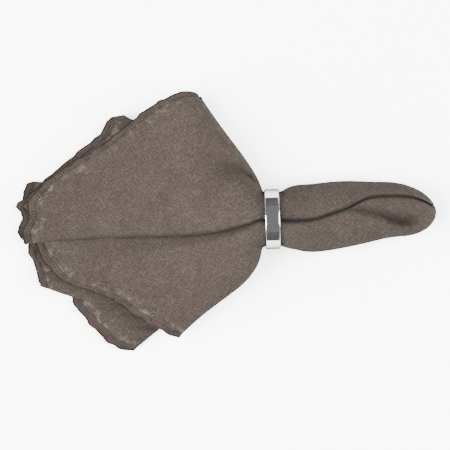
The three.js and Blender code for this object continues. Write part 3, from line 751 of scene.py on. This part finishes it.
# Cloth coordinates of every point, and the straight course of the threads as they lie.
grains = np.radians([spoke["grain"] for spoke in spokes])
weave_uv = np.stack([points[..., 0] * np.cos(grains) + points[..., 1] * np.sin(grains),
                     points[..., 1] * np.cos(grains) - points[..., 0] * np.sin(grains)], axis=-1)
hem_places = np.array([spoke["hem"] for spoke in spokes])
reach = np.hypot(*hem_places.T)
tail_share = (TIP_X - TAIL_XS) / (TIP_X - MOUTH_X)
cloth_run = np.empty((len(STATION_X), len(spokes)))
cloth_run[:IN_TAIL] = tail_share[:, None] * TIP_TO_MOUTH / reach
cloth_run[IN_TAIL:] = mix(TIP_TO_MOUTH / reach, 1, FAN_SHARES[:, None])
cloth_uv = cloth_run[..., None] * hem_places

rows, count = len(STATION_X), len(spokes)
vertices = [(TIP_X, TIP_Y, TIP_Z), *points.reshape(-1, 3).tolist()]
faces = []
for i in range(count):
    j = (i + 1) % count
    faces.append((0, 1 + i, 1 + j))
    for row in range(rows - 1):
        a, b = 1 + row * count, 1 + (row + 1) * count
        faces.append((a + i, b + i, b + j, a + j))
mesh = bpy.data.meshes.new("napkin_cloth")
mesh.from_pydata([tuple(MM * c for c in v) for v in vertices], [], faces)
cloth = bpy.data.objects.new("napkin_cloth", mesh)
bpy.context.collection.objects.link(cloth)

loop_vertices = np.empty(len(mesh.loops), dtype=int)
mesh.loops.foreach_get("vertex_index", loop_vertices)
for layer_name, uv, uv_tip in (("cloth", cloth_uv, (0, 0)), ("weave", weave_uv, (TIP_X, TIP_Y))):
    uv_of = np.concatenate([[uv_tip], uv.reshape(-1, 2)]) * MM
    layer = mesh.uv_layers.new(name=layer_name)
    layer.data.foreach_set("uv", uv_of[loop_vertices].ravel())

# The hem is turned over twice, so it is nearly three sheets thick.
SMOOTH_UNDER = math.radians(60)
HEM_THICKNESS = 1.15
HEM_ROWS = {-5: 0.75, -4: 1.0, -3: 1.0, -2: 0.9, -1: 0.55}
hem_group = cloth.vertex_groups.new(name="hem")
for row, weight in HEM_ROWS.items():
    first = 1 + (rows + row) * count
    hem_group.add(list(range(first, first + count)), weight, "REPLACE")
bpy.ops.object.select_all(action="DESELECT")
cloth.select_set(True)
bpy.context.view_layer.objects.active = cloth
thick = cloth.modifiers.new("thickness", "SOLIDIFY")
thick.thickness = HEM_THICKNESS * MM
thick.offset = 0
thick.vertex_group = "hem"
thick.thickness_vertex_group = SHEET / HEM_THICKNESS
bpy.ops.object.modifier_apply(modifier="thickness")
bpy.ops.object.shade_smooth_by_angle(angle=SMOOTH_UNDER)
mesh = cloth.data
places = np.empty(len(mesh.vertices) * 3)
mesh.vertices.foreach_get("co", places)
places[2::3] = np.maximum(places[2::3], 0)
mesh.vertices.foreach_set("co", places)
mesh.update()

# Linen: a taupe plain weave with uneven yarns. The hem is turned over and stitched, with a row of pale
# stitches.
# Its outer edge is darkened with a painted shadow, and its inner line, a shallow groove, with painted shade.
# The cloth beside the hem carries a painted sheen: pale patches that stand in for highlights.
# The colours suit this bright studio: the linen's own colour is about ten times as bright.
LINEN_COLOUR = (0.0192, 0.0153, 0.0131, 1)
PALE_YARN = (0.08, 0.068, 0.059, 1)
DARK_YARN = (0.0045, 0.0035, 0.003, 1)
YARN = 0.75
STREAK = 6.0
HEM_WIDTH = 4.2
STITCH_LINE = 3.9
STITCH_STEP = 2.3
GRAIN_SIZE, PATCH_SIZE, CLOUD_SIZE = 0.9, 7.0, 24.0
SLUB_WIDTH, SLUB_LENGTH = 1.0, 16.0
SLUB_RARE = (0.8, 0.86)
TONE = {"warp": 0.8, "weft": 0.8, "grain": 1.3, "cloud": 0.3, "weave": 0.06}
TINT = {"dark": 1.1, "pale": 0.55, "slub": 0.2, "painted_sheen": 0.55, "hem": 0.15, "inner_groove_and_shade": 0.6,
        "stitches": 0.4, "painted_edge_shadow": 0.7}
RELIEF = {"weave": 0.05, "yarns": 0.3, "grain": 0.35, "stitches": 0.25, "inner_groove_and_shade": 0.3}
RELIEF_STRENGTH = 0.8
LINEN_ROUGHNESS = 0.85
LINEN_SHEEN, SHEEN_ROUGHNESS = 0.012, 0.5

linen = bpy.data.materials.new("linen")
linen.use_nodes = True
shader = linen.node_tree.nodes["Principled BSDF"]
start = Signal(linen.node_tree)


def parts(point):
    """The three coordinates of a point, in millimetres."""
    return [start.node("ShaderNodeSeparateXYZ", inputs={0: point}, output=i) / MM for i in range(3)]


def speckle(place, sizes, seed, detail=2.0):
    """Noise from about 0 to 1, with grains of the given sizes in millimetres."""
    scaled = [value / size + seed for value, size in zip(place, sizes)]
    vector = start.node("ShaderNodeCombineXYZ", inputs=dict(enumerate(scaled)))
    inputs = {"Vector": vector, "Scale": 1.0, "Detail": detail, "Roughness": 0.55}
    return start.node("ShaderNodeTexNoise", {"noise_dimensions": "3D"}, inputs)


solid = parts(start.node("ShaderNodeTexCoord", output="Object"))
u, v, _ = parts(start.node("ShaderNodeUVMap", {"uv_map": "cloth"}))
lie_u, lie_v, _ = parts(start.node("ShaderNodeUVMap", {"uv_map": "weave"}))
warp = speckle((lie_u, lie_v), (YARN, STREAK), 1.5) - 0.5
weft = speckle((lie_u, lie_v), (STREAK, YARN), 7.5) - 0.5
grain = speckle(solid, [GRAIN_SIZE] * 3, 3.5) - 0.5
cloud = speckle(solid, [CLOUD_SIZE] * 3, 9.5) - 0.5
patch = speckle(solid, [PATCH_SIZE] * 3, 51.5)
across_u = (lie_u * (2 * math.pi / YARN)).maths("SINE")
across_v = (lie_v * (2 * math.pi / YARN)).maths("SINE")
weave = across_u * across_v

# Slubs: a few thick pale yarns, short and straight.
slub_u = speckle((lie_u, lie_v), (SLUB_WIDTH, SLUB_LENGTH), 21.5, 0.0).step(*SLUB_RARE)
slub_v = speckle((lie_u, lie_v), (SLUB_LENGTH, SLUB_WIDTH), 33.5, 0.0).step(*SLUB_RARE)
slub = slub_u.maths("MAXIMUM", slub_v)

# Hem: away runs inwards from the square's edge, and course runs along it.
wide_u, wide_v = abs(u), abs(v)
away = CLOTH_SIDE / 2 - wide_u.maths("MAXIMUM", wide_v)
on_u = wide_u.maths("GREATER_THAN", wide_v)
course = on_u * v + (1 - on_u) * u
hem_body = 1 - away.step(HEM_WIDTH - 0.3, HEM_WIDTH + 0.3)
# Painted shadow: the last millimetre or so of the hem is darkened where the raised hem edge casts its
# shadow.
painted_edge_shadow = 1 - away.step(0.6, 1.5)
# Painted shade along the hem's inner edge, in the groove that the same mask also cuts into the relief.
inner_groove_and_shade = away.band(HEM_WIDTH + 0.1, 0.35, 0.5) * (0.35 + patch)
stitch_wave = (course * (2 * math.pi / STITCH_STEP)).maths("SINE")
stitches = away.band(STITCH_LINE, 0.3, 0.4) * stitch_wave.step(-0.1, 0.6) * patch.step(0.35, 0.6)
# Painted sheen: pale patches in a band just inside the hem that stand in for highlights on the cloth.
painted_sheen = away.step(HEM_WIDTH, HEM_WIDTH + 1.0) * (1 - away.step(HEM_WIDTH + 2.5, HEM_WIDTH + 8))
painted_sheen = painted_sheen * patch.step(0.5, 0.66) * (0.5 + 2.4 * grain)

tone = warp * TONE["warp"] + weft * TONE["weft"] + grain * TONE["grain"]
tone = tone + cloud * TONE["cloud"] + weave * TONE["weave"]
colour = (tone * -TINT["dark"]).maths("MAXIMUM", 0.0).blend(LINEN_COLOUR, DARK_YARN)
colour = (tone * TINT["pale"]).maths("MAXIMUM", 0.0).blend(colour, PALE_YARN)
colour = (slub * TINT["slub"]).blend(colour, PALE_YARN)
colour = (painted_sheen * TINT["painted_sheen"]).maths("MAXIMUM", 0.0).blend(colour, PALE_YARN)
colour = (hem_body * TINT["hem"]).blend(colour, DARK_YARN)
colour = (inner_groove_and_shade * TINT["inner_groove_and_shade"]).blend(colour, DARK_YARN)
colour = (stitches * TINT["stitches"]).blend(colour, PALE_YARN)
colour = (painted_edge_shadow * TINT["painted_edge_shadow"]).blend(colour, DARK_YARN)
start.feed(colour, shader.inputs["Base Color"])
shader.inputs["Roughness"].default_value = LINEN_ROUGHNESS
shader.inputs["Specular IOR Level"].default_value = 0.0
shader.inputs["Sheen Weight"].default_value = LINEN_SHEEN
shader.inputs["Sheen Roughness"].default_value = SHEEN_ROUGHNESS

relief = weave * RELIEF["weave"] + (warp + weft) * RELIEF["yarns"] + grain * RELIEF["grain"]
relief = relief + stitches * RELIEF["stitches"] - inner_groove_and_shade * RELIEF["inner_groove_and_shade"]
bump_inputs = {"Height": relief * MM, "Distance": 1.0, "Strength": RELIEF_STRENGTH}
bump = start.node("ShaderNodeBump", inputs=bump_inputs)
start.feed(bump, shader.inputs["Normal"])
mesh.materials.append(linen)
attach(cloth, "root")
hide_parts("napkin")


# Ring: one plain band of polished metal that grips the gathered cloth. Its face is slightly hollow
# between two rounded rims. Its section is shaped flat and spun round the bore.
RING_OUTER = 22.97
RING_BORE = 21.4
RIM_WIDTH = 1.5
RIM_ROUND = 1.1
BORE_ROUND = 0.3
FACE_DEPTH = 0.3
RING_STEPS = 192
FACE_COLUMNS, FACE_CUTS = 3, 5
RIM_SEGMENTS, BORE_SEGMENTS = 6, 3
NEAR = 0.1
SEAM_GAP = 0.01
METAL_ROUGHNESS = 0.06
# Both colours suit this bright studio. The edge tint is a painted dark reflection: it darkens the metal
# where the ring's ends are seen edge-on, which draws the thin outline there.
METAL_COLOUR = (0.37, 0.365, 0.36, 1)
METAL_EDGE_COLOUR = (0.15, 0.15, 0.15, 1)


def choose(piece, test):
    """Selects the vertices of the piece that pass the test, in edit mode."""
    bpy.ops.object.mode_set(mode="EDIT")
    bpy.ops.mesh.select_all(action="DESELECT")
    bpy.ops.object.mode_set(mode="OBJECT")
    for vertex in piece.data.vertices:
        vertex.select = bool(test(vertex.co / MM))
    bpy.ops.object.mode_set(mode="EDIT")


wall = RING_OUTER - RING_BORE
middle_radius = (RING_OUTER + RING_BORE) / 2
outer_side = middle_radius + NEAR
bpy.ops.object.select_all(action="DESELECT")
bpy.ops.mesh.primitive_grid_add(x_subdivisions=FACE_COLUMNS, y_subdivisions=1, size=1)
ring = bpy.context.object
ring.name = "ring_band"
bpy.ops.object.mode_set(mode="EDIT")
bpy.ops.mesh.select_mode(type="VERT")
bpy.ops.mesh.select_all(action="SELECT")
bpy.ops.transform.resize(value=(RING_WIDTH * MM, wall * MM, 1), center_override=(0, 0, 0))
bpy.ops.transform.rotate(value=math.pi / 2, orient_axis="X", center_override=(0, 0, 0))
bpy.ops.transform.translate(value=(0, 0, middle_radius * MM))

rim_foot = RING_WIDTH / 2 - RIM_WIDTH
rim_inside = RING_WIDTH / 2 - NEAR
choose(ring, lambda place: abs(place.x) < rim_foot)
bpy.ops.transform.resize(value=(rim_foot / (RING_WIDTH / 2 / FACE_COLUMNS), 1, 1), center_override=(0, 0, 0))
choose(ring, lambda place: abs(place.x) < rim_inside and place.z > outer_side)
bpy.ops.transform.translate(value=(0, 0, -FACE_DEPTH * MM))
bpy.ops.mesh.subdivide(number_cuts=FACE_CUTS)
choose(ring, lambda place: abs(place.x) > rim_inside and place.z > outer_side)
bpy.ops.mesh.bevel(offset=RIM_ROUND * MM, affect="VERTICES", segments=RIM_SEGMENTS)
choose(ring, lambda place: abs(place.x) > rim_inside and place.z < RING_BORE + NEAR)
bpy.ops.mesh.bevel(offset=BORE_ROUND * MM, affect="VERTICES", segments=BORE_SEGMENTS)
bpy.ops.mesh.select_all(action="SELECT")
bpy.ops.mesh.region_to_loop()
bpy.ops.mesh.select_all(action="INVERT")
bpy.ops.mesh.delete(type="EDGE")
bpy.ops.mesh.select_mode(type="VERT")
bpy.ops.mesh.select_all(action="SELECT")
bpy.ops.mesh.spin(steps=RING_STEPS, angle=2 * math.pi, center=(0, 0, 0), axis=(1, 0, 0))
bpy.ops.mesh.select_all(action="SELECT")
bpy.ops.mesh.remove_doubles(threshold=SEAM_GAP * MM)
bpy.ops.mesh.normals_make_consistent(inside=False)
bpy.ops.transform.rotate(value=-RING_TURN, orient_axis="Z", center_override=(0, 0, 0))
bpy.ops.transform.translate(value=(RING_X * MM, RING_Y * MM, RING_Z * MM))
bpy.ops.object.mode_set(mode="OBJECT")
bpy.ops.object.shade_smooth_by_angle(angle=math.radians(35))

metal = bpy.data.materials.new("ring_metal")
metal.use_nodes = True
shader = metal.node_tree.nodes["Principled BSDF"]
shader.inputs["Base Color"].default_value = METAL_COLOUR
shader.inputs["Metallic"].default_value = 1
shader.inputs["Specular Tint"].default_value = METAL_EDGE_COLOUR
shader.inputs["Roughness"].default_value = METAL_ROUGHNESS
ring.data.materials.append(metal)
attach(ring, "root")
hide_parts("ring")
